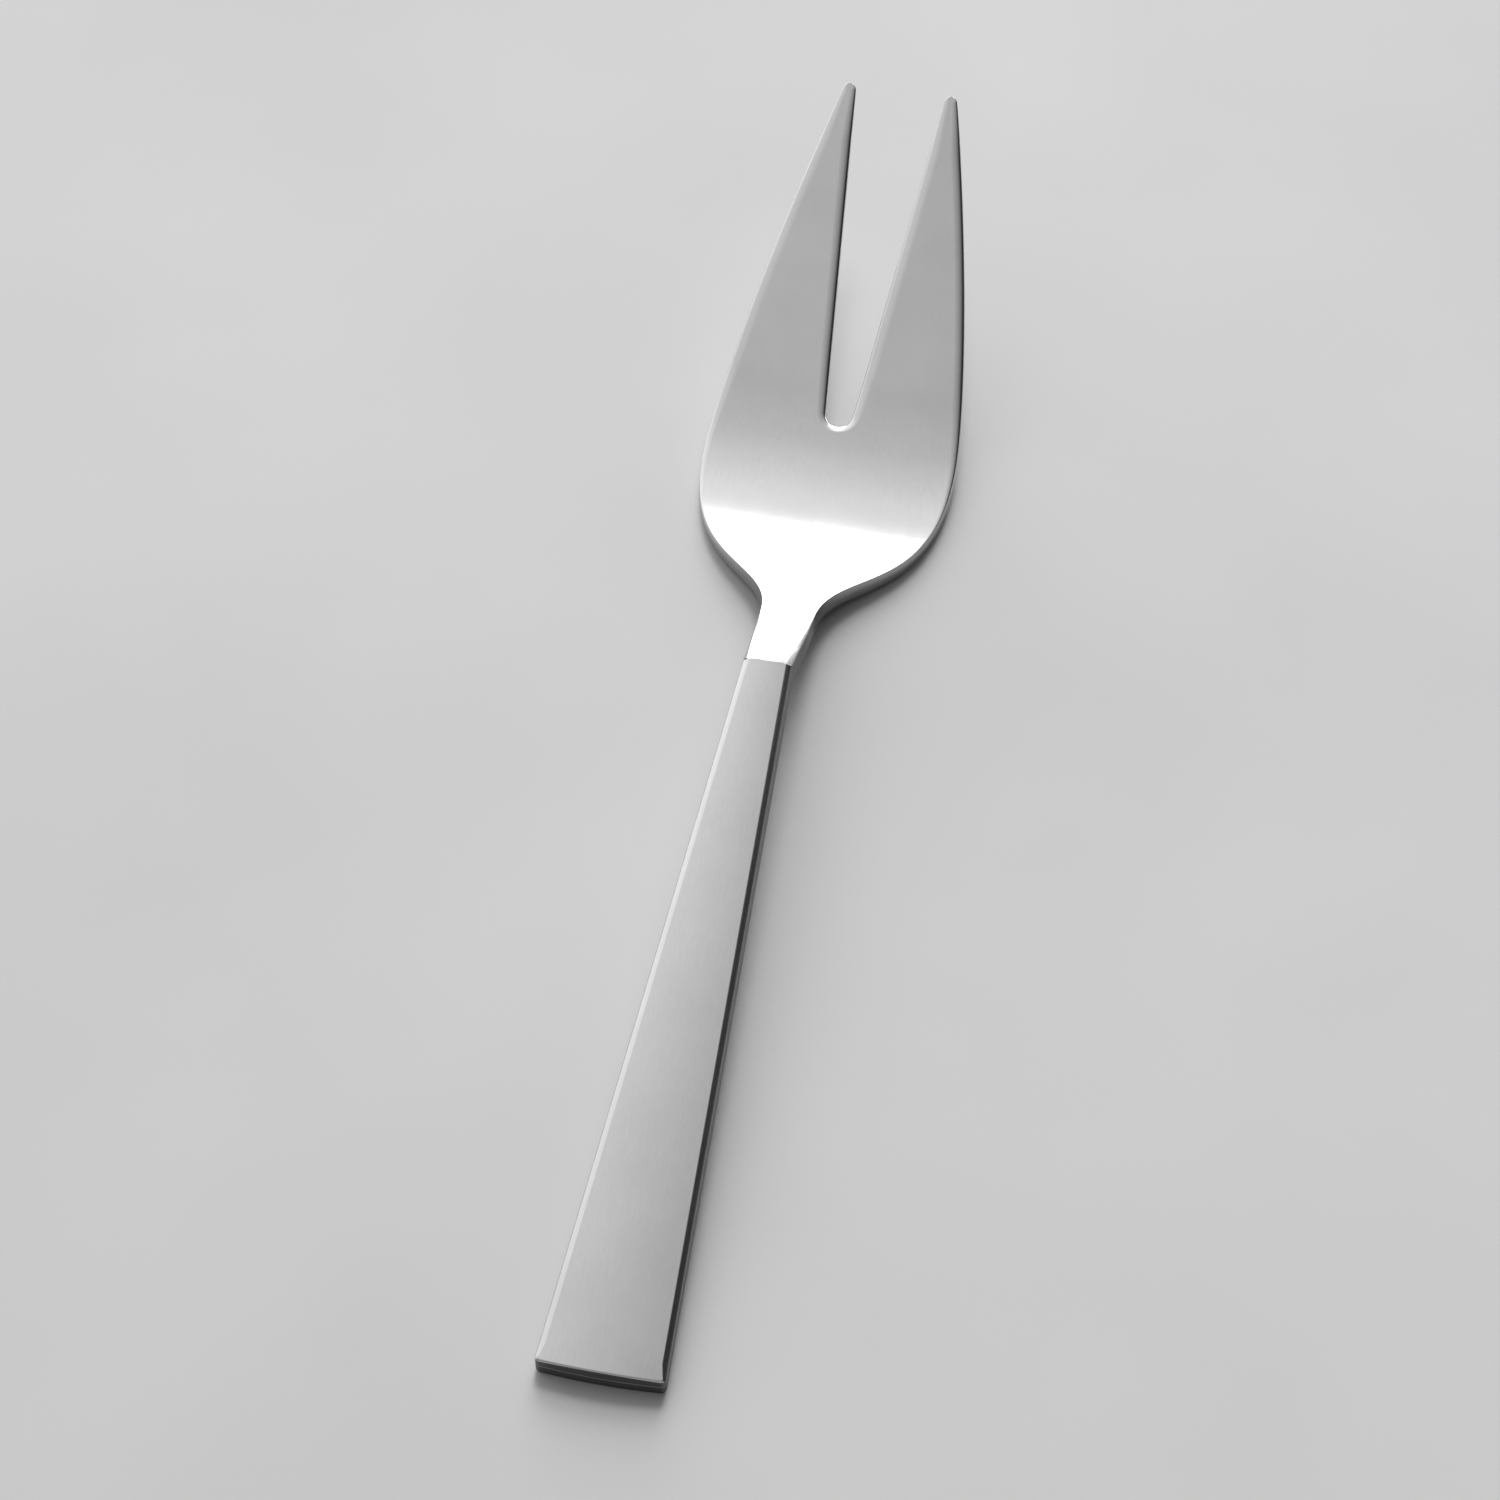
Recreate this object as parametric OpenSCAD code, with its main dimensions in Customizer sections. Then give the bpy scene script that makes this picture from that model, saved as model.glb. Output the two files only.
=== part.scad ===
// Two-tine serving fork with a filled hollow handle, lying face up.
// Lengths are millimetres. The fork runs along Y with its tines at +Y, its face looks up along Z,
// and the origin is under the middle of its length, on the surface that it lies on.

/* [Overall] */
// Length of the fork, seen from above
overall_l = 240; // [225:1:255]
// Length of the handle, from its butt to its mouth
handle_l = 122; // [112:1:130]

/* [Handle] */
// Width of the handle at the butt
butt_w = 19; // [16:0.5:22]
// Thickness of the handle at the butt
butt_t = 3.6; // [3.4:0.1:5]
// Width of the handle at the mouth, where the neck begins
mouth_w = 7.7; // [7.4:0.1:9]
// Thickness of the handle at the mouth
mouth_t = 6.2; // [5.4:0.1:7]
// How far the butt edge curves out past its corners
butt_bulge = 0.4; // [0.2:0.1:1.5]
// Wall of the two pressed handle shells
shell_wall = 0.7; // [0.5:0.05:0.9]

/* [Neck] */
// Length of the neck, from the handle's mouth to the start of the shoulders
neck_l = 17; // [14:1:20]
// Width of the neck where the shoulders start
neck_w = 8.8; // [8:0.1:11]
// Length of the flat ramp on the neck, before the bowl's curve starts
ramp_l = 6; // [4:0.5:8]
// Downward slope of that ramp, in degrees
neck_angle = 28; // [24:1:30]

/* [Head] */
// Greatest width of the head
head_w = 42; // [38:1:46]
// Length of the shoulders, from the neck to the greatest width
shoulder_l = 37; // [33:1:40]
// Thickness of the head's plate
plate_t = 2.6; // [2:0.1:3]
// Radius of the bowl's face, seen from the side
bowl_r = 75; // [68:1:80]
// How far the outline keeps the neck's direction before it swings outward
neck_pull = 13; // [10:0.5:15]
// How far the outline runs straight into the greatest width
shoulder_pull = 27; // [22:0.5:30]

/* [Tines] */
// Upward slope of the tines, in degrees
tine_angle = 22; // [18:1:25]
// Angle by which each tine thins towards its tip, in degrees
tine_taper = 1.4; // [0.8:0.1:1.6]
// Length of the slot between the tines
slot_l = 58; // [50:0.2:60]
// Width of the slot at its round root
slot_root_w = 4.6; // [4.2:0.1:5.6]
// Distance between the two tips
tip_spread = 17.6; // [16:0.2:20]
// Radius of each tip
tip_r = 1.2; // [0.8:0.1:1.5]
// Inward slope of a tine's outer edge at the tip, in degrees
tip_angle = 15.5; // [12:0.5:18]
// How far the outer edge runs straight on from the greatest width
tine_pull = 16; // [10:0.5:22]
// How far the outer edge runs straight into the tip
tip_pull = 12; // [8:0.5:18]

/* [Joint] */
// Length of the spigot that plugs the handle's mouth
spigot_l = 4; // [3:0.5:6]
// Clearance between the spigot and the shells
spigot_gap = 0.1; // [0.05:0.05:0.2]
// Length of the tang inside the handle
tang_l = 62; // [40:1:80]
// Width of the tang at the neck
tang_w = 4.6; // [3.6:0.1:5]
// Thickness of the tang at the neck
tang_t = 2.8; // [2:0.1:3.2]
// Width of the tang at its far end
tang_end_w = 3.2; // [2.4:0.1:3.6]
// Thickness of the tang at its far end
tang_end_t = 1.8; // [1.4:0.1:1.8]

/* [Hidden] */

// Steps along each free curve of an outline, and round a tip or the slot's root
curve_steps = 24;
round_steps = 12;
// Sides of a full circle
$fn = 360;
// Height and width of the blocks that outlines are cut from, greater than the fork's own
block_h = overall_l / 2;
block_w = 2 * head_w;

steel_colour = [0.82, 0.82, 0.83];
shell_colour = [0.74, 0.74, 0.75];
filler_colour = [0.55, 0.50, 0.44];

// Stations along the fork
butt_y = -overall_l / 2;
tip_y = overall_l / 2;
joint_y = butt_y + handle_l;
neck_end_y = joint_y + neck_l;
widest_y = neck_end_y + shoulder_l;
bowl_y = joint_y + ramp_l + bowl_r * sin(neck_angle);
slot_root_r = slot_root_w / 2;
slot_root_y = tip_y - slot_l + slot_root_r;

// Heights: the fork rests on the butt and on the lowest line of the bowl
crease_z = plate_t + bowl_r * (1 - cos(neck_angle)) + ramp_l * tan(neck_angle);
mouth_back_z = crease_z - mouth_t;

// Heights of the handle's face, back and seam, each at the butt and at the mouth
handle_face = [butt_t, crease_z];
handle_back = [0, mouth_back_z];
handle_seam = (handle_face + handle_back) / 2;

// Circle that the butt edge follows
butt_r = (pow(butt_w / 2, 2) + pow(butt_bulge, 2)) / (2 * butt_bulge);

// Circles of the bowl in side view: its face, its back, and the sweep under the neck
bowl_centre = [bowl_y, plate_t + bowl_r];
back_r = bowl_r + plate_t;
under_r = (pow(bowl_y - joint_y, 2) + pow(mouth_back_z, 2)) / (2 * mouth_back_z);

// Circle at the right tip, and the flare of the slot's edge that touches it and the slot's root
tip_centre = [tip_spread / 2, tip_y - tip_r];
root_to_tip = tip_centre - [0, slot_root_y];
slot_flare = acos((slot_root_r + tip_r) / norm(root_to_tip)) - atan2(root_to_tip.y, root_to_tip.x);

// Unit vector at an angle
function heading(angle) = [cos(angle), sin(angle)];

// Points along a circle, from one angle to another
function arc(centre, r, from, to) =
    [for (i = [0:round_steps]) centre + r * heading(from + (to - from) * i / round_steps)];

// Points along a cubic curve from a to d, short of d, that leaves towards b and arrives from c
function curve(a, b, c, d) =
    [for (i = [0:curve_steps - 1])
        let (t = i / curve_steps, u = 1 - t)
        u * u * u * a + 3 * u * u * t * b + 3 * u * t * t * c + t * t * t * d];

// Whole outline from its right half, which ends on the centre line
function both_sides(right) =
    concat(right, [for (i = [len(right) - 2:-1:0]) [-right[i].x, right[i].y]]);

// Value at a station on the handle, from its values at the butt and at the mouth
function along_handle(ends, y) = ends[0] + (ends[1] - ends[0]) * (y - butt_y) / handle_l;

// Right half of the head's outline: neck, shoulder, tine, tip and slot
function head_outline() =
    let (
        mouth_corner = [mouth_w / 2, joint_y],
        neck_corner = [neck_w / 2, neck_end_y],
        neck_line = neck_corner - mouth_corner,
        neck_handle = neck_corner + neck_pull * neck_line / norm(neck_line),
        widest = [head_w / 2, widest_y],
        tip_start = tip_centre + tip_r * heading(tip_angle),
        tip_handle = tip_start - tip_pull * heading(90 + tip_angle)
    )
    concat(
        [mouth_corner],
        curve(neck_corner, neck_handle, widest - [0, shoulder_pull], widest),
        curve(widest, widest + [0, tine_pull], tip_handle, tip_start),
        arc(tip_centre, tip_r, tip_angle, 180 - slot_flare),
        arc([0, slot_root_y], slot_root_r, -slot_flare, -90)
    );

// Straight line of the tines in side view, from the bowl's circle to past the tips
function tine_line(r, angle) =
    let (start = bowl_centre + r * heading(angle - 90), end_y = tip_y + tip_r)
    [start, [end_y, start.y + (end_y - start.x) * tan(angle)]];

// Upright block with the outline of its child, seen from above
module seen_from_above() {
    linear_extrude(block_h) children();
}

// Crosswise block with the outline of its child, seen from the side as [y, z]
module seen_from_side() {
    rotate([90, 0, 90]) linear_extrude(block_w, center = true) children();
}

// Everything above a bent line that runs from the joint to past the tips, in side view
module above(line) {
    polygon(concat([[joint_y, block_h]], line, [[line[len(line) - 1].x, block_h]]));
}

// Everything above the face of the head, in side view
module above_face() {
    ramp_end = bowl_centre + bowl_r * heading(-90 - neck_angle);
    above(concat([[joint_y, crease_z], ramp_end], tine_line(bowl_r, tine_angle)));
    translate(bowl_centre) circle(bowl_r);
}

// Everything above the back of the head, in side view
module above_back() {
    above(concat([[joint_y, mouth_back_z], [bowl_y, 0]], tine_line(back_r, tine_angle + tine_taper)));
    intersection() {
        translate([bowl_y, under_r]) circle(under_r);
        translate([joint_y, 0]) square([bowl_y - joint_y, mouth_back_z]);
    }
    intersection() {
        translate(bowl_centre) circle(back_r);
        translate([bowl_y, 0]) square(back_r);
    }
}

// Plate of the tines, bowl and neck, cut to its outline
module head_plate() {
    intersection() {
        seen_from_above() polygon(both_sides(head_outline()));
        seen_from_side() difference() {
            above_back();
            above_face();
        }
    }
}

// Length of the handle between two stations, thinned all round by an inset
module handle_block(inset, back, face, start_y, end_y) {
    half_w = [butt_w / 2, mouth_w / 2] - [inset, inset];
    end_half_w = along_handle(half_w, end_y);
    low = back + [inset, inset];
    high = face - [inset, inset];
    intersection() {
        seen_from_above() intersection() {
            polygon([
                [-half_w[0], butt_y],
                [half_w[0], butt_y],
                [end_half_w, end_y],
                [-end_half_w, end_y]
            ]);
            translate([0, butt_y + butt_r]) circle(butt_r - inset);
        }
        seen_from_side() polygon([
            [start_y, along_handle(low, start_y)],
            [end_y, along_handle(low, end_y)],
            [end_y, along_handle(high, end_y)],
            [start_y, along_handle(high, start_y)]
        ]);
    }
}

// Room inside the two shells, from the butt wall to a station near the mouth
module handle_room(end_y) {
    handle_block(shell_wall, handle_back, handle_face, butt_y, end_y);
}

// Flat tapered tang along the handle's seam
module tang() {
    far_y = joint_y - tang_l;
    far_z = along_handle(handle_seam, far_y);
    near_z = handle_seam[1];
    intersection() {
        seen_from_above() polygon([
            [tang_w / 2, joint_y],
            [-tang_w / 2, joint_y],
            [-tang_end_w / 2, far_y],
            [tang_end_w / 2, far_y]
        ]);
        seen_from_side() polygon([
            [joint_y, near_z + tang_t / 2],
            [joint_y, near_z - tang_t / 2],
            [far_y, far_z - tang_end_t / 2],
            [far_y, far_z + tang_end_t / 2]
        ]);
    }
}

// Head in one forging: tines, bowl, neck, spigot and tang
module fork_head() {
    color(steel_colour)
    union() {
        head_plate();
        handle_block(shell_wall + spigot_gap, handle_back, handle_face, joint_y - spigot_l, joint_y);
        tang();
    }
}

// Upper half of the handle, pressed from sheet
module handle_front_shell() {
    color(shell_colour)
    difference() {
        handle_block(0, handle_seam, handle_face, butt_y, joint_y);
        handle_room(joint_y + spigot_l);
    }
}

// Lower half of the handle, pressed from sheet
module handle_back_shell() {
    color(shell_colour)
    difference() {
        handle_block(0, handle_back, handle_seam, butt_y, joint_y);
        handle_room(joint_y + spigot_l);
    }
}

// Set filler that holds the tang in the shells
module handle_filler() {
    color(filler_colour)
    difference() {
        handle_room(joint_y - spigot_l);
        tang();
    }
}

fork_head();
handle_front_shell();
handle_back_shell();
handle_filler();
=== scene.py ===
import math
from dataclasses import dataclass

import bpy
import numpy as np
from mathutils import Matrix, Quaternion, Vector


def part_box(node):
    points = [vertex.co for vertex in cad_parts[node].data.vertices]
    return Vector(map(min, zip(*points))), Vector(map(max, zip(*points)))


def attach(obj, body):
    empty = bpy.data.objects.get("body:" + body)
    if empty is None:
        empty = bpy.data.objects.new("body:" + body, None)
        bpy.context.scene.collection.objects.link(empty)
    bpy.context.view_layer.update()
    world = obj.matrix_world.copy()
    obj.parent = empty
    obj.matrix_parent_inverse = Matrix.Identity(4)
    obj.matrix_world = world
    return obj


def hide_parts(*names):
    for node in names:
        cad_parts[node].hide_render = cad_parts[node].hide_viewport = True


# Looks of a two-tine serving fork: its steel head, the two shells of its handle, floor, light and camera.
# Metres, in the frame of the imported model: the fork runs along Y with its tines at +Y, and lies face up.

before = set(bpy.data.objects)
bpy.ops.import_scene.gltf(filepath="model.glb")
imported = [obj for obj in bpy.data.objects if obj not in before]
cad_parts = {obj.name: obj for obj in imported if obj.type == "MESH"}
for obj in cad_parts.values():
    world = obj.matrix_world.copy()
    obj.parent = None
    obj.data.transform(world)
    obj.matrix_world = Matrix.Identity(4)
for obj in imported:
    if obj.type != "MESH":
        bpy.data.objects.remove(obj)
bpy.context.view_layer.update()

MM = 0.001

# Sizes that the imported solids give
head_low, head_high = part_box("fork_head")
front_low, front_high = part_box("handle_front_shell")
_, back_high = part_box("handle_back_shell")
BUTT_Y = front_low.y
JOINT_Y = front_high.y
TIP_Y = head_high.y
TANG_END_Y = head_low.y
BUTT_HALF_W = front_high.x
HEAD_HALF_W = head_high.x
CREASE_Z = front_high.z
HANDLE_L = JOINT_Y - BUTT_Y
BUTT_SEAM_Z = front_low.z
MOUTH_SEAM_Z = back_high.z

# Handle: half width at the mouth, bulge and corners of the butt edge, and the walls of the shells
MOUTH_HALF_W = 3.85 * MM
BUTT_BULGE = 0.4 * MM
BUTT_CORNER_R = 0.8 * MM
SHELL_WALL = 0.7 * MM
# Slope to which the handle's crowned face falls at its sides
CROWN_SLOPE = math.tan(math.radians(6))
# Reach of its rounded edges along the sides and at the butt, and the length over which it changes
SIDE_REACH = 1.0 * MM
BUTT_REACH = 0.25 * MM
BUTT_REACH_L = 2.5 * MM
# Their depth as a share of that reach, and their bevel, from 1, round, to 2, flat
SIDE_DEPTH = 0.5
SIDE_BEVEL = 1.7
# Rounding of each shell's edge at the seam
SEAM_RIM = 0.05 * MM

# Head: the same outline and side view as its solid
NECK_L = 17 * MM
NECK_HALF_W = 4.4 * MM
NECK_PULL = 13 * MM
SHOULDER_L = 37 * MM
SHOULDER_PULL = 27 * MM
TINE_PULL = 16 * MM
TIP_PULL = 12 * MM
TIP_ANGLE = math.radians(15.5)
TIP_X = 8.8 * MM
TIP_R = 1.2 * MM
SLOT_L = 58 * MM
SLOT_ROOT_R = 2.3 * MM
PLATE_T = 2.6 * MM
BOWL_R = 75 * MM
RAMP_L = 6 * MM
NECK_ANGLE = math.radians(28)
TINE_ANGLE = math.radians(22)
TINE_TAPER = math.radians(1.4)
# Rims of the head: how far they reach in at the handle, on the shoulders and on the tines, the length over
# which they end at a tip, and the shares of a tine's half width and thickness that they keep within
NECK_REACH = 2.2 * MM
SHOULDER_REACH = 0.3 * MM
TINE_REACH = 1.8 * MM
TIP_FADE_L = 6 * MM
REACH_SHARE = 0.7
DEPTH_SHARE = 0.45
# Their depth as a share of their reach, and the depth and the bevel that they have at the root of the slot
RIM_DEPTH = 0.3
ROOT_DEPTH = 0.37
ROOT_BEVEL = 1.4

# Spigot and tang behind the neck, and how far the way out of their steps leans back
SPIGOT_L = 4 * MM
SPIGOT_INSET = 0.8 * MM
TANG_HALF_W = 2.3 * MM
TANG_HALF_T = 1.4 * MM
TANG_END_HALF_W = 1.6 * MM
TANG_END_HALF_T = 0.9 * MM
STEP_LEAN = 1 * MM

# Fineness of the meshes: rows along each stretch of an outline, columns across a face, steps round a rim
NECK_ROWS = 12
SHOULDER_ROWS = 40
ROOT_ROWS = 20
SLOT_ROWS = 56
TIP_ROWS = 10
BUTT_ROWS = 14
CORNER_ROWS = 8
SIDE_ROWS = 60
FACE_COLUMNS = 14
RIM_STEPS = 6
# Points closer than this are one point
WELD = 1e-8
# The right half of a mesh stays as it is, and is mirrored for the left half
BOTH_SIDES = np.array([[1, 1, 1], [-1, 1, 1]])

# Camera: where it aims, and from where
AIM = Vector((-1.48, -4.7, 0)) * MM
VIEW_ELEVATION = math.radians(51.8)
VIEW_TURN = math.radians(11.28)
VIEW_DISTANCE = 631 * MM
SENSOR_MM = 36
LENS_MM = 96

# Surroundings: their glow, and its shares from left to right and from front to back. Each pair is a place,
# from 0 to 1, and a share
SURROUNDINGS = 1.76
SIDE_GLOW = (
    (0.13, 0.82), (0.18, 0.70), (0.33, 0.72), (0.378, 0.66), (0.435, 0.59), (0.455, 0.565), (0.49, 0.49),
    (0.54, 0.43), (0.60, 0.36), (0.68, 0.22), (0.75, 0.08), (0.80, 0.02),
)
DEPTH_GLOW = (
    (0.42, 0.18), (0.46, 0.65), (0.485, 0.66), (0.53, 0.58), (0.615, 0.66), (0.66, 0.675), (0.70, 0.80),
    (0.735, 0.86), (0.783, 1.0),
)
# Share of the glow that steel mirrors at least in front and near the floor, and where each of these ends,
# from front to back and upwards
PALE_FRONT = 0.22
IN_FRONT = ((0.30, 1.0), (0.42, 0.0))
NEAR_FLOOR = ((0.625, 1.0), (0.70, 0.0))
# Key lamp: glow, size and place
KEY_GLOW = 13.5
KEY_SIZE = 0.6
KEY_DISTANCE = 2.0
KEY_TURN = math.radians(-6)
KEY_ELEVATION = math.radians(53)
# Softbox: glow, size, height of its foot, place and roll
SOFTBOX_GLOW = 7.0
SOFTBOX_W = 2.1
SOFTBOX_H = 2.96
SOFTBOX_FOOT = 0.09
SOFTBOX_DISTANCE = 3.5
SOFTBOX_TURN = math.radians(-8)
SOFTBOX_ROLL = math.radians(25)
# Floor: half its width, and how far it lies under the fork
FLOOR_HALF_W = 8.0
FLOOR_GAP = 0.02 * MM

# Noise in the materials: layers of finer noise, and the share that these have
NOISE_DETAIL = 3.0
NOISE_FINENESS = 0.5
# Brushed steel of the head and of the handle: grey, and roughness from its smoothest to its roughest grain
HEAD_GREY = 0.67
HEAD_SMOOTH = 0.155
HEAD_ROUGH = 0.18
HANDLE_GREY = 0.60
HANDLE_SMOOTH = 0.23
HANDLE_ROUGH = 0.25
# Its grain and its clouds, both per metre, and the share that finer layers of noise have in each
GRAIN_SCALE = (6000, 90, 6000)
GRAIN_FINENESS = 0.6
CLOUD_SCALE = 70.0
CLOUD_FINENESS = 0.55
# Values between which such a noise mostly lies, and the shares of the grey that they stand for
NOISE_LOW = 0.3
NOISE_HIGH = 0.7
DARK_SHARE = 0.94
PALE_SHARE = 1.05
# Bump of the grain, and how far the brushing spreads what it mirrors
GRAIN_BUMP = 0.3
GRAIN_DEPTH = 0.001 * MM
BRUSHED_SPREAD = 0.5
# Sides of the handle, dull, with painted shade that darkens their grey: grey as a share of the face's,
# roughness, how far they go on up the neck, and the length over which they end there
PAINTED_SIDE_SHADE = 0.22
DULL_SIDE_ROUGHNESS = 0.45
SIDE_MASK_NECK_L = 10 * MM
SIDE_MASK_FADE_L = 12 * MM
# Upright part of the normal up to which a side fully gets the dull finish and painted shade, and from which
# it doesn't
SIDE_MASK_FULL = 0.2
SIDE_MASK_END = 0.8
# Worn rims: sideways part of the normal at which they start and are full, and the share of roughness left
RIM_TILT_LOW = 0.12
RIM_TILT_HIGH = 0.4
WORN_ROUGHNESS = 0.65
# UV map whose first axis runs across the brushing
BRUSHING_MAP = "brushing"

# Resin: grit and clouds per metre, bump of the grit, colours and roughness
GRIT_SCALE = 1800.0
GRIT_BUMP = 0.4
GRIT_DEPTH = 0.05 * MM
RESIN_SCALE = 160.0
RESIN_DETAIL = 4.0
RESIN_DARK = (0.47, 0.42, 0.36, 1)
RESIN_PALE = (0.60, 0.55, 0.49, 1)
RESIN_ROUGHNESS = 0.8
# Paper of the floor: clouds per metre, their greys, roughness and sheen
PAPER_SCALE = 9.0
PAPER_GREYS = ((0.35, 0.635), (0.65, 0.675))
PAPER_ROUGHNESS = 0.85
PAPER_SHEEN = 0.2


def point(x, y):
    """A point in plan."""
    return np.array([x, y])


def heading(angle):
    """Unit vector in plan at an angle."""
    return np.array([math.cos(angle), math.sin(angle)])


def unit(vectors):
    """The same vectors, one long."""
    return vectors / np.linalg.norm(vectors, axis=-1, keepdims=True)


def straight(a, b, count):
    """Points along a line from a to b, and the direction of travel at each."""
    t = np.linspace(0, 1, count + 1)[:, None]
    return a + (b - a) * t, np.tile(unit(b - a), (count + 1, 1))


def cubic(a, b, c, d, count):
    """Points along a cubic curve that leaves a for b and reaches d from c, and the direction at each."""
    t = np.linspace(0, 1, count + 1)[:, None]
    u = 1 - t
    points = u**3 * a + 3 * u**2 * t * b + 3 * u * t**2 * c + t**3 * d
    return points, unit(u**2 * (b - a) + 2 * u * t * (c - b) + t**2 * (d - c))


def arc(centre, r, start, end, count):
    """Points along a circle from one angle to another, and the direction of travel at each."""
    angles = np.linspace(start, end, count + 1)
    spokes = np.column_stack([np.cos(angles), np.sin(angles)])
    across = np.column_stack([-spokes[:, 1], spokes[:, 0]])
    return centre + r * spokes, across * math.copysign(1, end - start)


def chain(*stretches):
    """One path from stretches that follow each other."""
    points = [stretches[0][0]] + [points[1:] for points, _ in stretches[1:]]
    ways = [stretches[0][1]] + [ways[1:] for _, ways in stretches[1:]]
    return np.vstack(points), np.vstack(ways)


@dataclass
class Edge:
    """A stretch of an outline in plan: its points, the way out of the metal there, and its rim's reach."""

    points: np.ndarray
    outward: np.ndarray
    reach: np.ndarray

    def inset(self, distance):
        """The edge's points, moved into the metal."""
        return self.points - self.outward * np.reshape(distance, (-1, 1))


def edge_right_of(path, reach):
    """Edge along a path that has the metal on its left."""
    points, ways = path
    return Edge(points, np.column_stack([ways[:, 1], -ways[:, 0]]), reach(points[:, 1]))


def edge_left_of(path, reach):
    """Edge along a path that has the metal on its right."""
    points, ways = path
    return Edge(points, np.column_stack([-ways[:, 1], ways[:, 0]]), reach(points[:, 1]))


@dataclass
class Surface:
    """A face that looks up, facing 1, or down, -1. shape gives height and slopes at points in plan."""

    shape: callable
    facing: int

    def height(self, flat):
        """Heights over points in plan."""
        return self.shape(flat)[0]

    def normal(self, flat):
        """Unit normals over points in plan, out of the metal."""
        z, slope_x, slope_y = self.shape(flat)
        return self.facing * unit(np.stack([-slope_x, -slope_y, np.ones_like(z)], axis=-1))

    def lift(self, flat):
        """Points in space over points in plan."""
        return np.concatenate([flat, self.height(flat)[..., None]], axis=-1)


# Side view of the head

BOWL_Y = JOINT_Y + RAMP_L + BOWL_R * math.sin(NECK_ANGLE)
MOUTH_BACK_Z = 2 * MOUTH_SEAM_Z - CREASE_Z
UNDER_NECK_R = ((BOWL_Y - JOINT_Y) ** 2 + MOUTH_BACK_Z**2) / (2 * MOUTH_BACK_Z)
UNDER_NECK_ANGLE = math.asin((BOWL_Y - JOINT_Y) / UNDER_NECK_R)
BACK_R = BOWL_R + PLATE_T


def sweep(y, r, base, low, high):
    """Height and slope at y of an arc, lowest at BOWL_Y with base, and straight past its end angles."""
    run = (y - BOWL_Y) / r
    on_arc = np.clip(run, -math.sin(low), math.sin(high))
    level = np.sqrt(1 - on_arc**2)
    slope = on_arc / level
    return base + r * (1 - level + (run - on_arc) * slope), slope


def head_face_shape(flat):
    """Shape of the head's face: ramp, bowl and tines."""
    z, slope = sweep(flat[..., 1], BOWL_R, PLATE_T, NECK_ANGLE, TINE_ANGLE)
    return z, np.zeros_like(z), slope


def head_back_shape(flat):
    """Shape of the head's back: sweep under the neck, bowl, and tines that get thinner."""
    y = flat[..., 1]
    r = np.where(y < BOWL_Y, UNDER_NECK_R, BACK_R)
    z, slope = sweep(y, r, 0, UNDER_NECK_ANGLE, TINE_ANGLE + TINE_TAPER)
    return z, np.zeros_like(z), slope


HEAD_FACE = Surface(head_face_shape, 1)
HEAD_BACK = Surface(head_back_shape, -1)


# Side view of the handle

def along_handle(y, butt, mouth):
    """Value at station y, from its values at the butt and at the mouth."""
    return butt + (mouth - butt) * (y - BUTT_Y) / HANDLE_L


def handle_plane(butt_z, mouth_z, side_slope=0.0):
    """Shape of a handle face between two heights, crowned so that it has a certain slope at its sides."""

    def shape(flat):
        x, y = flat[..., 0], flat[..., 1]
        half_w = along_handle(y, BUTT_HALF_W, MOUTH_HALF_W)
        side_x = x / half_w
        z = along_handle(y, butt_z, mouth_z) - side_slope * half_w * side_x**2 / 2
        return z, -side_slope * side_x, np.full_like(z, (mouth_z - butt_z) / HANDLE_L)

    return shape


HANDLE_FACE = Surface(handle_plane(2 * BUTT_SEAM_Z, CREASE_Z, CROWN_SLOPE), 1)
HANDLE_BACK = Surface(handle_plane(0, MOUTH_BACK_Z), -1)
SEAM = handle_plane(BUTT_SEAM_Z, MOUTH_SEAM_Z)


# Outlines

def smooth_step(share):
    """Share from 0 to 1 that starts and ends gently."""
    return share**2 * (3 - 2 * share)


def head_reach(y):
    """How far the head's rim reaches in at stations y."""
    past_neck = np.clip((y - JOINT_Y) / NECK_L, 0, 1)
    tight = NECK_REACH + (SHOULDER_REACH - NECK_REACH) * past_neck
    on_tine = np.clip((y - JOINT_Y - NECK_L - SHOULDER_L / 2) / SHOULDER_L, 0, 1)
    full = tight + (TINE_REACH - tight) * smooth_step(on_tine)
    root_half_w = (HEAD_HALF_W - SLOT_ROOT_R) / 2
    tine_half_w = TIP_R + (root_half_w - TIP_R) * (TIP_Y - y) / SLOT_L
    return np.minimum(full, REACH_SHARE * tine_half_w)


def square_at_joint(edge, row):
    """The same edge, with the row that lies on the joint square to the fork."""
    outward = edge.outward.copy()
    outward[row] = heading(0)
    return Edge(edge.points, outward, edge.reach)


def end_at_tip(edge):
    """The same edge, without a rim where a tip looks straight forward."""
    at_tip = np.clip(1 - (TIP_Y - edge.points[:, 1]) / TIP_FADE_L, 0, 1)
    return Edge(edge.points, edge.outward, edge.reach * (1 - at_tip * edge.outward[:, 1] ** 2))


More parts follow.
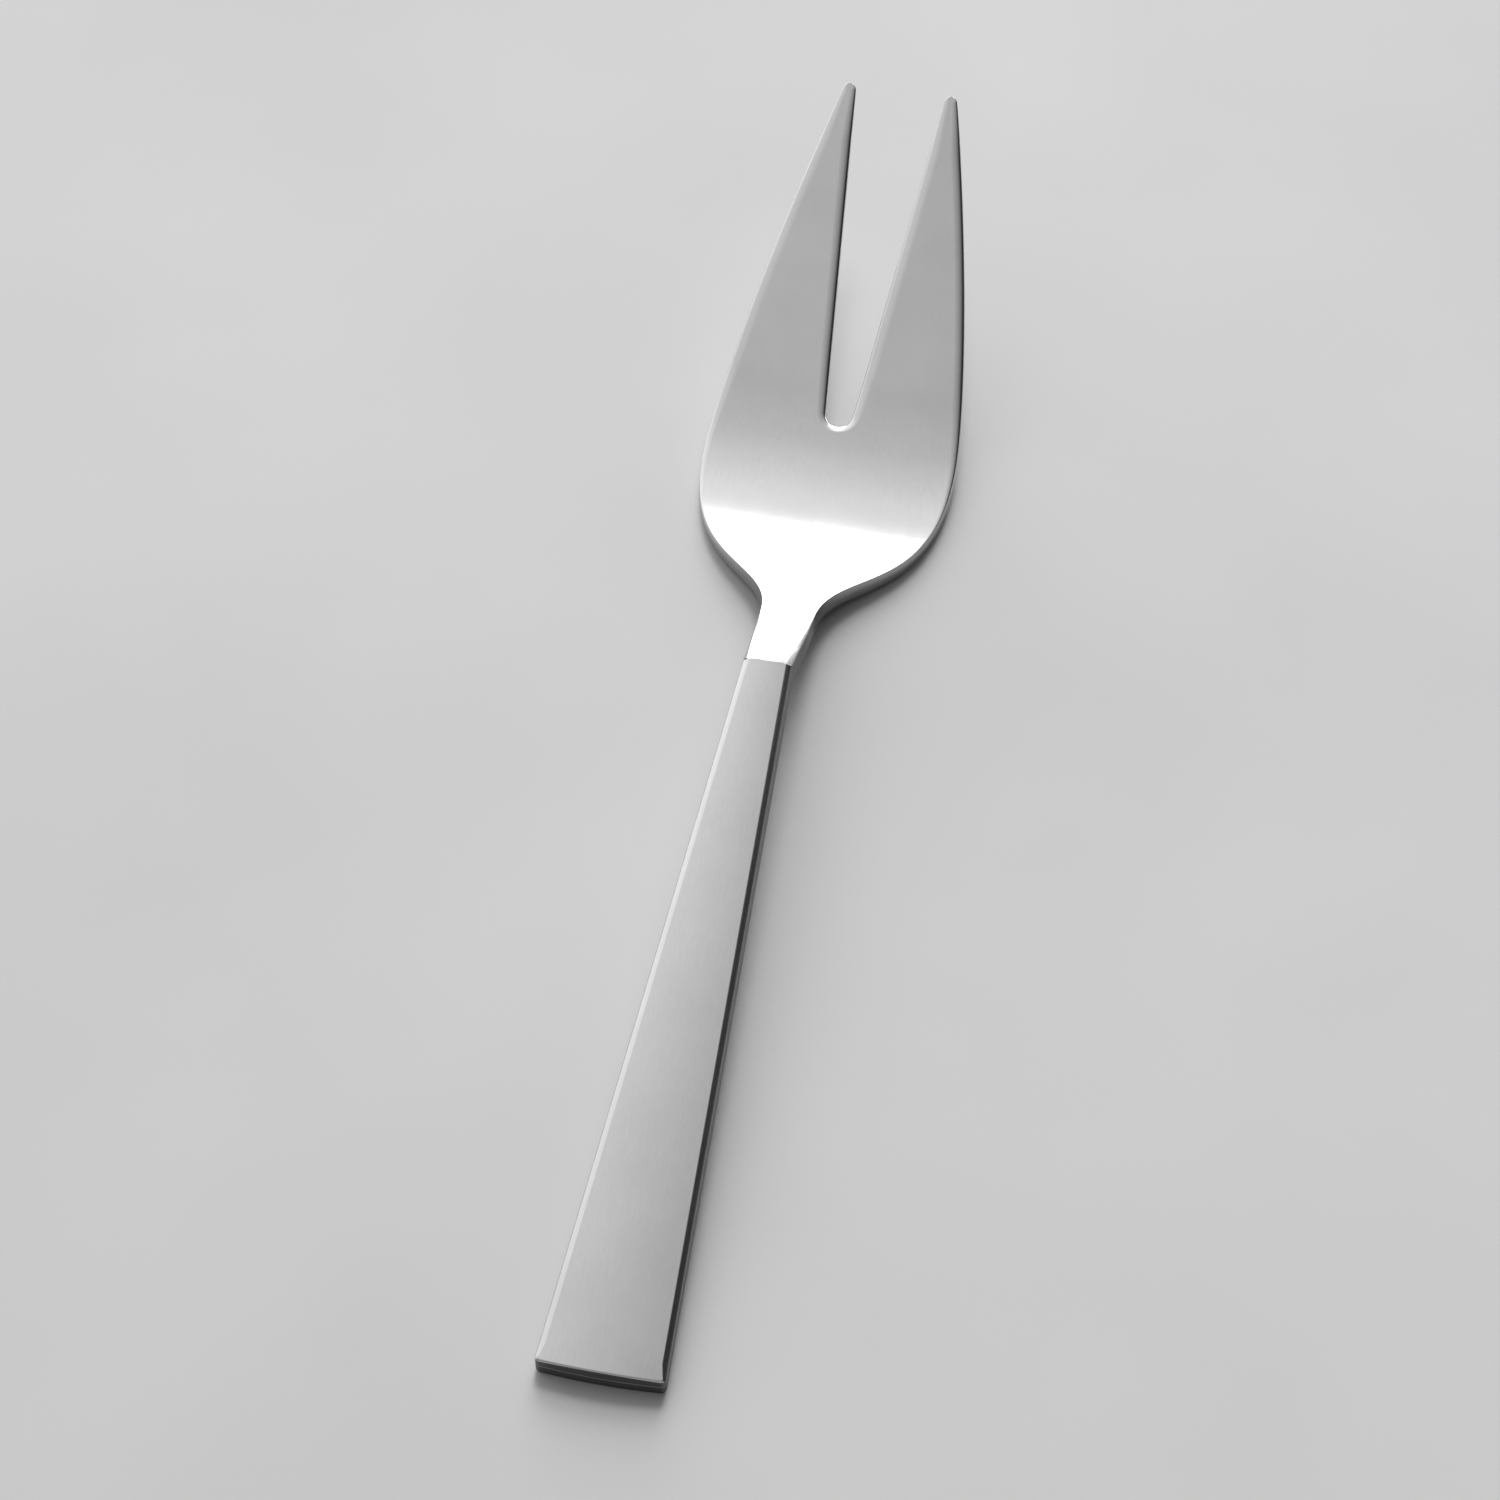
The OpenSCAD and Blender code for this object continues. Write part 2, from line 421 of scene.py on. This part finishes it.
def head_edges():
    """Edges of the head's right half: the outer one, from neck to tip, and the slot's, from root to tip."""
    mouth = point(MOUTH_HALF_W, JOINT_Y)
    neck = point(NECK_HALF_W, JOINT_Y + NECK_L)
    neck_pull = neck + NECK_PULL * unit(neck - mouth)
    widest = point(HEAD_HALF_W, JOINT_Y + NECK_L + SHOULDER_L)
    tip = point(TIP_X, TIP_Y - TIP_R)
    root = point(0, TIP_Y - SLOT_L + SLOT_ROOT_R)
    to_tip = tip - root
    flare = math.acos((SLOT_ROOT_R + TIP_R) / np.linalg.norm(to_tip)) - math.atan2(to_tip[1], to_tip[0])
    apex = (TIP_ANGLE + math.pi - flare) / 2
    tip_start = tip + TIP_R * heading(TIP_ANGLE)
    tip_pull = tip_start - TIP_PULL * heading(TIP_ANGLE + math.pi / 2)
    outer = chain(
        straight(mouth, neck, NECK_ROWS),
        cubic(neck, neck_pull, widest - point(0, SHOULDER_PULL), widest, SHOULDER_ROWS),
        cubic(widest, widest + point(0, TINE_PULL), tip_pull, tip_start, ROOT_ROWS + SLOT_ROWS),
        arc(tip, TIP_R, TIP_ANGLE, apex, TIP_ROWS),
    )
    slot = chain(
        arc(root, SLOT_ROOT_R, -math.pi / 2, -flare, ROOT_ROWS),
        straight(root + SLOT_ROOT_R * heading(-flare), tip + TIP_R * heading(math.pi - flare), SLOT_ROWS),
        arc(tip, TIP_R, math.pi - flare, apex, TIP_ROWS),
    )
    outer_edge = square_at_joint(edge_right_of(outer, head_reach), 0)
    return end_at_tip(outer_edge), end_at_tip(edge_left_of(slot, head_reach))


def handle_reach(y):
    """How far the handle's rounded edge reaches in at stations y."""
    share = np.clip((y - BUTT_Y) / BUTT_REACH_L, 0, 1)
    return BUTT_REACH + (SIDE_REACH - BUTT_REACH) * share


def handle_edge():
    """Edge of the handle's right half, from the middle of the butt round its corner to the mouth."""
    bulge_r = (BUTT_HALF_W**2 + BUTT_BULGE**2) / (2 * BUTT_BULGE)
    centre = point(0, BUTT_Y + bulge_r)
    mouth = point(MOUTH_HALF_W, JOINT_Y)
    way = unit(mouth - point(BUTT_HALF_W, BUTT_Y))
    outward = point(way[1], -way[0])
    # The corner's circle touches the side from inside, and the butt's circle too
    near = mouth - BUTT_CORNER_R * outward - centre
    back = near @ way + math.sqrt((near @ way) ** 2 - near @ near + (bulge_r - BUTT_CORNER_R) ** 2)
    corner = centre + near - back * way
    to_corner = corner - centre
    corner_start = math.atan2(to_corner[1], to_corner[0])
    corner_end = math.atan2(outward[1], outward[0])
    path = chain(
        arc(centre, bulge_r, -math.pi / 2, corner_start, BUTT_ROWS),
        arc(corner, BUTT_CORNER_R, corner_start, corner_end, CORNER_ROWS),
        straight(corner + BUTT_CORNER_R * outward, mouth, SIDE_ROWS),
    )
    return square_at_joint(edge_right_of(path, handle_reach), -1)


# Meshes

class Skin:
    """A mesh put together from grids of points, welded where they fall together, with its own normals."""

    def __init__(self):
        self.numbers = {}
        self.points = []
        self.faces = []
        self.normals = []
        self.uvs = []

    def number(self, place):
        """Number of the point at a place, added if it is new."""
        key = tuple(np.rint(place / WELD).astype(np.int64))
        if key not in self.numbers:
            self.numbers[key] = len(self.points)
            self.points.append(place)
        return self.numbers[key]

    def face(self, places, normals, uvs, flat):
        """One face, turned to the side that its normals name. A flat face gets its own normal."""
        kept = {}
        for place, normal, uv in zip(places, normals, uvs):
            kept.setdefault(self.number(place), (place, normal, uv))
        if len(kept) < 3:
            return
        ring = np.array([place for place, _, _ in kept.values()])
        own = np.cross(ring, np.roll(ring, -1, axis=0)).sum(axis=0)
        corners = list(kept.items())
        if own @ np.sum([normal for _, normal, _ in kept.values()], axis=0) < 0:
            corners.reverse()
            own = -own
        self.faces.append([number for number, _ in corners])
        for _, (_, normal, uv) in corners:
            self.normals.append(unit(own) if flat else normal)
            self.uvs.append(uv)

    def grid(self, places, normals, flat=False):
        """Faces between the rows and columns of a grid, on the right half and mirrored on the left."""
        across = np.cumsum(np.linalg.norm(np.diff(places, axis=1, prepend=places[:, :1]), axis=-1), axis=1)
        steps = np.linalg.norm(np.diff(places, axis=0, prepend=places[:1]), axis=-1).max(axis=1)
        along = np.broadcast_to(np.cumsum(steps)[:, None], across.shape)
        uvs = np.stack([across, along], axis=-1)
        for mirror in BOTH_SIDES:
            for i, j in np.ndindex(places.shape[0] - 1, places.shape[1] - 1):
                at = ([i, i, i + 1, i + 1], [j, j + 1, j + 1, j])
                self.face(places[at] * mirror, normals[at] * mirror, uvs[at], flat)

    def build(self, name):
        """The mesh as an object of the scene."""
        mesh = bpy.data.meshes.new(name)
        mesh.from_pydata(self.points, [], self.faces)
        layer = mesh.uv_layers.new(name=BRUSHING_MAP)
        layer.uv.foreach_set("vector", np.array(self.uvs, np.float32).ravel())
        mesh.normals_split_custom_set(self.normals)
        piece = bpy.data.objects.new(name, mesh)
        bpy.context.scene.collection.objects.link(piece)
        return piece


def sheet(inner, outer, surface):
    """Grid on a surface between two lines in plan, with its normals."""
    share = np.linspace(0, 1, FACE_COLUMNS + 1)[None, :, None]
    flat = inner[:, None] * (1 - share) + outer[:, None] * share
    return surface.lift(flat), surface.normal(flat)


@dataclass
class Rim:
    """How far a rim reaches in along an edge, how deep it is, and its bevel, from 1, round, to 2, flat."""

    reach: np.ndarray
    depth: np.ndarray
    bevel: np.ndarray

    def grid(self, edge, surface):
        """Grid from the surface down to the wall, and its normals."""
        places, normals = [], []
        wall = np.column_stack([edge.outward, np.zeros(len(edge.outward))])
        for turn in np.linspace(0, math.pi / 2, RIM_STEPS + 1):
            rise, run = abs(math.cos(turn)), math.sin(turn)
            ring = surface.lift(edge.inset(self.reach * (1 - run**self.bevel)))
            ring[:, 2] -= surface.facing * self.depth * (1 - rise**self.bevel)
            places.append(ring)
            up = self.reach * rise ** (2 - self.bevel)
            out = self.depth * run ** (2 - self.bevel)
            normals.append(unit(up[:, None] * surface.normal(ring[:, :2]) + out[:, None] * wall))
        return np.stack(places, axis=1), np.stack(normals, axis=1)


def band(edge, top, bottom, top_rim, bottom_rim):
    """Grid round an edge: the rim of its top surface, the wall, and the rim of its bottom surface."""
    upper, upper_normals = top_rim.grid(edge, top)
    lower, lower_normals = bottom_rim.grid(edge, bottom)
    places = np.concatenate([upper, lower[:, ::-1]], axis=1)
    return places, np.concatenate([upper_normals, lower_normals[:, ::-1]], axis=1)


def tang_sections(neck):
    """Sections of the spigot and the tang, each a copy of the neck's own end at another size."""
    low, high = neck.min(axis=0), neck.max(axis=0)
    middle_z = (low[2] + high[2]) / 2
    half_w, half_t = high[0], (high[2] - low[2]) / 2
    spigot_y = JOINT_Y - SPIGOT_L
    far_seam_z = along_handle(TANG_END_Y, BUTT_SEAM_Z, MOUTH_SEAM_Z)
    near_seam_z = along_handle(spigot_y, BUTT_SEAM_Z, MOUTH_SEAM_Z)
    spigot = (half_w - SPIGOT_INSET, half_t - SPIGOT_INSET)
    sizes = [
        (JOINT_Y, middle_z, half_w, half_t),
        (JOINT_Y, middle_z, *spigot),
        (spigot_y, near_seam_z, *spigot),
        (spigot_y, near_seam_z, TANG_HALF_W, TANG_HALF_T),
        (TANG_END_Y, far_seam_z, TANG_END_HALF_W, TANG_END_HALF_T),
        (TANG_END_Y, far_seam_z, 0, 0),
    ]
    for y, z, w, t in sizes:
        section = (neck - [0, 0, middle_z]) * [w / half_w, 0, t / half_t]
        yield section + [0, y, z]


def head_band(edge):
    """Grid round an edge of the head, with like rims on its face and its back."""
    looks_forward = np.clip(edge.outward[:, 1], 0, 1)
    at_root = np.where(edge.points[:, 1] < TIP_Y - SLOT_L + SLOT_ROOT_R, looks_forward**2, 0)
    steepness = RIM_DEPTH + (ROOT_DEPTH - RIM_DEPTH) * at_root
    thickness = HEAD_FACE.height(edge.points) - HEAD_BACK.height(edge.points)
    depth = np.minimum(steepness * edge.reach, DEPTH_SHARE * thickness)
    rim = Rim(edge.reach, depth, 1 + (ROOT_BEVEL - 1) * at_root)
    return band(edge, HEAD_FACE, HEAD_BACK, rim, rim)


def make_head():
    """Tines, bowl and neck as one plate with rounded rims, with the spigot and tang behind it."""
    skin = Skin()
    outer, slot = head_edges()
    neck_rows = NECK_ROWS + SHOULDER_ROWS
    root_y = slot.inset(slot.reach)[0, 1]
    share = (outer.points[:neck_rows, 1] - JOINT_Y) / (outer.points[neck_rows, 1] - JOINT_Y)
    middle = np.column_stack([np.zeros(neck_rows), JOINT_Y + share * (root_y - JOINT_Y)])
    inner_line = np.vstack([middle, slot.inset(slot.reach)])
    outer_line = outer.inset(outer.reach)
    face, face_normals = sheet(inner_line, outer_line, HEAD_FACE)
    back, back_normals = sheet(inner_line, outer_line, HEAD_BACK)
    side, side_normals = head_band(outer)
    skin.grid(face, face_normals)
    skin.grid(back, back_normals)
    skin.grid(side, side_normals)
    skin.grid(*head_band(slot))
    neck_end = np.concatenate([face[0], side[0, 1:], back[0, -2::-1]])
    sections = np.stack(list(tang_sections(neck_end)))
    outward = sections - sections.mean(axis=1, keepdims=True) - [0, STEP_LEAN, 0]
    skin.grid(sections, outward, flat=True)
    return skin.build("fork_head_skin")


def handle_sheet(outer, surface):
    """Grid on a face of the handle, from its middle to a line along its edge, with its normals."""
    turn_y = BUTT_Y + BUTT_HALF_W
    middle_y = np.concatenate([
        np.linspace(outer[0, 1], turn_y, BUTT_ROWS + CORNER_ROWS + 1),
        np.linspace(turn_y, JOINT_Y, SIDE_ROWS + 1)[1:],
    ])
    return sheet(np.column_stack([np.zeros_like(middle_y), middle_y]), outer, surface)


def make_shell(name, surface):
    """Half of the handle, pressed from sheet: outer face with rounded edges, seam, and the room inside."""
    skin = Skin()
    edge = handle_edge()
    seam = Surface(SEAM, -surface.facing)
    face, face_normals = handle_sheet(edge.inset(edge.reach), surface)
    ones = np.ones(len(edge.points))
    face_rim = Rim(edge.reach, SIDE_DEPTH * edge.reach, SIDE_BEVEL * ones)
    seam_rim = Rim(SEAM_RIM * ones, SEAM_RIM * ones, ones)
    side, side_normals = band(edge, surface, seam, face_rim, seam_rim)
    skin.grid(face, face_normals)
    skin.grid(side, side_normals)
    room, room_normals = handle_sheet(edge.inset(SHELL_WALL), surface)
    room[..., 2] -= surface.facing * SHELL_WALL
    lip = seam.lift(edge.inset(SHELL_WALL))
    skin.grid(np.stack([side[:, -1], lip], axis=1), np.stack([side_normals[:, -1]] * 2, axis=1), flat=True)
    inward = -np.column_stack([edge.outward, np.zeros(len(edge.outward))])
    skin.grid(np.stack([lip, room[:, -1]], axis=1), np.stack([inward] * 2, axis=1), flat=True)
    skin.grid(room, -room_normals, flat=True)
    mouth_outside = np.concatenate([face[-1], side[-1, 1:]])
    mouth_inside = np.concatenate([room[-1], lip[-1:]])
    for mirror in BOTH_SIDES:
        ring = np.concatenate([mouth_outside, mouth_inside[::-1]]) * mirror
        skin.face(ring, np.tile([0, 1, 0], (len(ring), 1)), ring[:, [0, 2]], flat=True)
    return skin.build(name)


# Materials

class Nodes:
    """A node tree, with short calls to add and join nodes."""

    def __init__(self, tree):
        self.tree = tree
        tree.nodes.clear()

    def add(self, kind, inputs=None, **settings):
        """One node. An input is a value, or another node's output."""
        made = self.tree.nodes.new(kind)
        for key, value in settings.items():
            setattr(made, key, value)
        for key, value in (inputs or {}).items():
            if isinstance(value, bpy.types.NodeSocket):
                self.tree.links.new(value, made.inputs[key])
            else:
                made.inputs[key].default_value = value
        return made

    def math(self, operation, *values):
        """Result of an operation on one or two values."""
        return self.add("ShaderNodeMath", dict(enumerate(values)), operation=operation).outputs["Value"]

    def remap(self, value, start, end, first=0.0, last=1.0):
        """Value between start and end, as one between first and last."""
        return self.add("ShaderNodeMapRange", {
            "Value": value, "From Min": start, "From Max": end, "To Min": first, "To Max": last,
        }).outputs["Result"]

    def split(self, vector):
        """The X, Y and Z outputs of a vector."""
        return self.add("ShaderNodeSeparateXYZ", {"Vector": vector}).outputs

    def noise(self, vector, scale, detail, fineness):
        """Soft noise from 0 to 1."""
        return self.add("ShaderNodeTexNoise", {
            "Vector": vector, "Scale": scale, "Detail": detail, "Roughness": fineness,
        }).outputs["Fac"]

    def mix(self, blend, factor, a, b):
        """Colour a, blended with colour b."""
        inputs = {"Factor": factor, "A": a, "B": b}
        return self.add("ShaderNodeMix", inputs, data_type="RGBA", blend_type=blend).outputs["Result"]

    def ramp(self, factor, *stops):
        """Colour ramp of greys: (position, grey) stops."""
        made = self.add("ShaderNodeValToRGB", {"Fac": factor})
        elements = made.color_ramp.elements
        while len(elements) < len(stops):
            elements.new(1)
        for element, (position, grey) in zip(elements, stops):
            element.position = position
            element.color = (grey, grey, grey, 1)
        return made.outputs["Color"]

    def surface(self, inputs):
        """Principled shader with these inputs, as what the material shows."""
        shader = self.add("ShaderNodeBsdfPrincipled", inputs)
        self.add("ShaderNodeOutputMaterial", {"Surface": shader.outputs["BSDF"]})


def new_material(name):
    """A material, and the node tree to fill."""
    made = bpy.data.materials.new(name)
    made.use_nodes = True
    return made, Nodes(made.node_tree)


def dull_and_shaded_sides(nodes, place):
    """How far steel is dull and darkened with painted shade: fully on the handle's sides, and less and less
    along the neck's.
    """
    level = nodes.math("ABSOLUTE", nodes.split(place.outputs["Normal"])["Z"])
    on_side = nodes.remap(level, SIDE_MASK_FULL, SIDE_MASK_END, 1.0, 0.0)
    end_y = JOINT_Y + SIDE_MASK_NECK_L
    station = nodes.split(place.outputs["Object"])["Y"]
    by_handle = nodes.remap(station, end_y, end_y + SIDE_MASK_FADE_L, 1.0, 0.0)
    return nodes.math("MULTIPLY", on_side, by_handle)


def worn_rims(nodes, place, cloud):
    """How far steel is worn: in clouds, where it tilts to the side."""
    tilt = nodes.math("ABSOLUTE", nodes.split(place.outputs["Normal"])["X"])
    on_rim = nodes.remap(tilt, RIM_TILT_LOW, RIM_TILT_HIGH)
    return nodes.math("MULTIPLY", on_rim, cloud)


def brushed_steel(name, grey, smooth, rough):
    """Satin steel, brushed along the fork, smoother on worn rims, and dull on the sides, whose grey painted
    shade darkens.
    """
    made, nodes = new_material(name)
    place = nodes.add("ShaderNodeTexCoord")
    stretched = nodes.add("ShaderNodeMapping", {"Vector": place.outputs["Object"], "Scale": GRAIN_SCALE})
    grain = nodes.noise(stretched.outputs["Vector"], 1.0, NOISE_DETAIL, GRAIN_FINENESS)
    cloud = nodes.noise(place.outputs["Object"], CLOUD_SCALE, NOISE_DETAIL, CLOUD_FINENESS)
    uneven = nodes.math("MULTIPLY", nodes.math("ADD", grain, cloud), 0.5)
    tone = nodes.ramp(uneven, (NOISE_LOW, grey * DARK_SHARE), (NOISE_HIGH, grey * PALE_SHARE))
    dull_and_shaded = dull_and_shaded_sides(nodes, place)
    # Painted shade: this darkens the grey of the handle's sides and of the neck's walls near the handle
    shade = nodes.ramp(dull_and_shaded, (0.0, 1.0), (1.0, PAINTED_SIDE_SHADE))
    satin = nodes.remap(grain, NOISE_LOW, NOISE_HIGH, smooth, rough)
    polish = nodes.remap(worn_rims(nodes, place, cloud), 0.0, 1.0, 1.0, WORN_ROUGHNESS)
    rubbed = nodes.math("MULTIPLY", satin, polish)
    bump = nodes.add("ShaderNodeBump", {"Height": grain, "Strength": GRAIN_BUMP, "Distance": GRAIN_DEPTH})
    tangent = nodes.add("ShaderNodeTangent", direction_type="UV_MAP", uv_map=BRUSHING_MAP)
    nodes.surface({
        "Base Color": nodes.mix("MULTIPLY", 1.0, tone, shade),
        "Metallic": 1.0,
        "Roughness": nodes.remap(dull_and_shaded, 0.0, 1.0, rubbed, DULL_SIDE_ROUGHNESS),
        "Anisotropic": BRUSHED_SPREAD,
        "Normal": bump.outputs["Normal"],
        "Tangent": tangent.outputs["Tangent"],
    })
    return made


def set_resin():
    """Matt filler with fine grit."""
    made, nodes = new_material("filler_resin")
    place = nodes.add("ShaderNodeTexCoord").outputs["Object"]
    grit = nodes.add("ShaderNodeTexVoronoi", {"Vector": place, "Scale": GRIT_SCALE}).outputs["Distance"]
    cloud = nodes.noise(place, RESIN_SCALE, RESIN_DETAIL, NOISE_FINENESS)
    tone = nodes.add("ShaderNodeValToRGB", {"Fac": cloud})
    for element, colour in zip(tone.color_ramp.elements, (RESIN_DARK, RESIN_PALE)):
        element.color = colour
    bump = nodes.add("ShaderNodeBump", {"Height": grit, "Strength": GRIT_BUMP, "Distance": GRIT_DEPTH})
    nodes.surface({
        "Base Color": tone.outputs["Color"],
        "Roughness": RESIN_ROUGHNESS,
        "Normal": bump.outputs["Normal"],
    })
    return made


def pale_paper():
    """Plain pale floor with a faint unevenness."""
    made, nodes = new_material("floor_paper")
    place = nodes.add("ShaderNodeTexCoord").outputs["Object"]
    cloud = nodes.noise(place, PAPER_SCALE, NOISE_DETAIL, NOISE_FINENESS)
    nodes.surface({
        "Base Color": nodes.ramp(cloud, *PAPER_GREYS),
        "Roughness": PAPER_ROUGHNESS,
        "Specular IOR Level": PAPER_SHEEN,
    })
    return made


# Stage: floor, light and camera

def make_floor():
    """Wide sheet of paper, a hair under the fork."""
    corners = [(-1, -1), (1, -1), (1, 1), (-1, 1)]
    mesh = bpy.data.meshes.new("floor")
    mesh.from_pydata([(x * FLOOR_HALF_W, y * FLOOR_HALF_W, 0) for x, y in corners], [], [(0, 1, 2, 3)])
    floor = bpy.data.objects.new("floor", mesh)
    floor.location.z = -FLOOR_GAP
    floor.data.materials.append(pale_paper())
    bpy.context.scene.collection.objects.link(floor)


def make_world():
    """Surroundings that are pale behind and on the left, grey overhead and dark on the right.

    What steel mirrors in front and near the floor is pale too, so that the fork isn't black from behind.
    """
    world = bpy.data.worlds.new("studio")
    world.use_nodes = True
    bpy.context.scene.world = world
    nodes = Nodes(world.node_tree)
    way = nodes.split(nodes.add("ShaderNodeTexCoord").outputs["Generated"])
    side, depth, height = (nodes.remap(way[axis], -1.0, 1.0) for axis in "XYZ")
    glow = nodes.mix("MULTIPLY", 1.0, nodes.ramp(side, *SIDE_GLOW), nodes.ramp(depth, *DEPTH_GLOW))
    pale = nodes.math("MAXIMUM", nodes.ramp(height, *NEAR_FLOOR), nodes.ramp(depth, *IN_FRONT))
    # Not for light that comes by way of the floor, or the shadows would be pale as well
    rays = nodes.add("ShaderNodeLightPath").outputs
    mirrored = nodes.math("GREATER_THAN", rays["Is Glossy Ray"], rays["Diffuse Depth"])
    share = nodes.math("MULTIPLY", pale, mirrored)
    colour = nodes.mix("LIGHTEN", share, glow, (PALE_FRONT, PALE_FRONT, PALE_FRONT, 1))
    light = nodes.add("ShaderNodeBackground", {"Color": colour, "Strength": SURROUNDINGS})
    nodes.add("ShaderNodeOutputWorld", {"Surface": light.outputs["Background"]})


def make_key():
    """Round lamp behind the fork that lights the floor and casts the shadows. Steel doesn't mirror it."""
    lamp = bpy.data.lights.new("key", "AREA")
    lamp.shape = "DISK"
    lamp.size = KEY_SIZE
    area = math.pi * KEY_SIZE**2 / 4
    lamp.energy = KEY_GLOW * math.pi * area
    key = bpy.data.objects.new("key", lamp)
    level = math.cos(KEY_ELEVATION)
    towards = Vector((level * math.sin(KEY_TURN), level * math.cos(KEY_TURN), math.sin(KEY_ELEVATION)))
    key.location = KEY_DISTANCE * towards
    key.rotation_euler = (-towards).to_track_quat("-Z", "Y").to_euler()
    key.visible_camera = False
    key.visible_glossy = False
    bpy.context.scene.collection.objects.link(key)


def make_softbox():
    """One wide softbox behind the fork and to its left, which the neck and the bowl mirror."""
    lamp = bpy.data.lights.new("softbox", "AREA")
    lamp.shape = "RECTANGLE"
    lamp.size = SOFTBOX_W
    lamp.size_y = SOFTBOX_H
    lamp.energy = SOFTBOX_GLOW * math.pi * SOFTBOX_W * SOFTBOX_H
    box = bpy.data.objects.new("softbox", lamp)
    middle = Vector((0, 0, SOFTBOX_FOOT + SOFTBOX_H / 2))
    box.location = middle + SOFTBOX_DISTANCE * Vector((math.sin(SOFTBOX_TURN), math.cos(SOFTBOX_TURN), 0))
    upright = (middle - box.location).to_track_quat("-Z", "Y")
    box.rotation_euler = (upright @ Quaternion((0, 0, 1), SOFTBOX_ROLL)).to_euler()
    box.visible_camera = False
    bpy.context.scene.collection.objects.link(box)


def make_camera():
    """Camera at the photo's viewing angle."""
    lens = bpy.data.cameras.new("camera")
    lens.sensor_width = SENSOR_MM
    lens.lens = LENS_MM
    camera = bpy.data.objects.new("camera", lens)
    level = math.cos(VIEW_ELEVATION)
    back = Vector((level * math.sin(VIEW_TURN), -level * math.cos(VIEW_TURN), math.sin(VIEW_ELEVATION)))
    camera.location = AIM + VIEW_DISTANCE * back
    camera.rotation_euler = (-back).to_track_quat("-Z", "Y").to_euler()
    bpy.context.scene.collection.objects.link(camera)
    bpy.context.scene.camera = camera


def dress(piece, material, slot, *nodes):
    """The piece takes the material, stands for CAD nodes and rides on the fork's one body. The slot isn't
    used.
    """
    piece.data.materials.append(material)
    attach(piece, "root")
    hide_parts(*nodes)


head_steel = brushed_steel("head_steel", HEAD_GREY, HEAD_SMOOTH, HEAD_ROUGH)
handle_steel = brushed_steel("handle_steel", HANDLE_GREY, HANDLE_SMOOTH, HANDLE_ROUGH)
dress(make_head(), head_steel, "head_steel", "fork_head")
dress(make_shell("handle_front_skin", HANDLE_FACE), handle_steel, "handle_steel", "handle_front_shell")
dress(make_shell("handle_back_skin", HANDLE_BACK), handle_steel, "handle_steel", "handle_back_shell")
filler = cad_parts["handle_filler"]
filler.data.materials.clear()
filler.data.materials.append(set_resin())

make_floor()
make_world()
make_key()
make_softbox()
make_camera()
bpy.context.scene.view_settings.view_transform = "Standard"
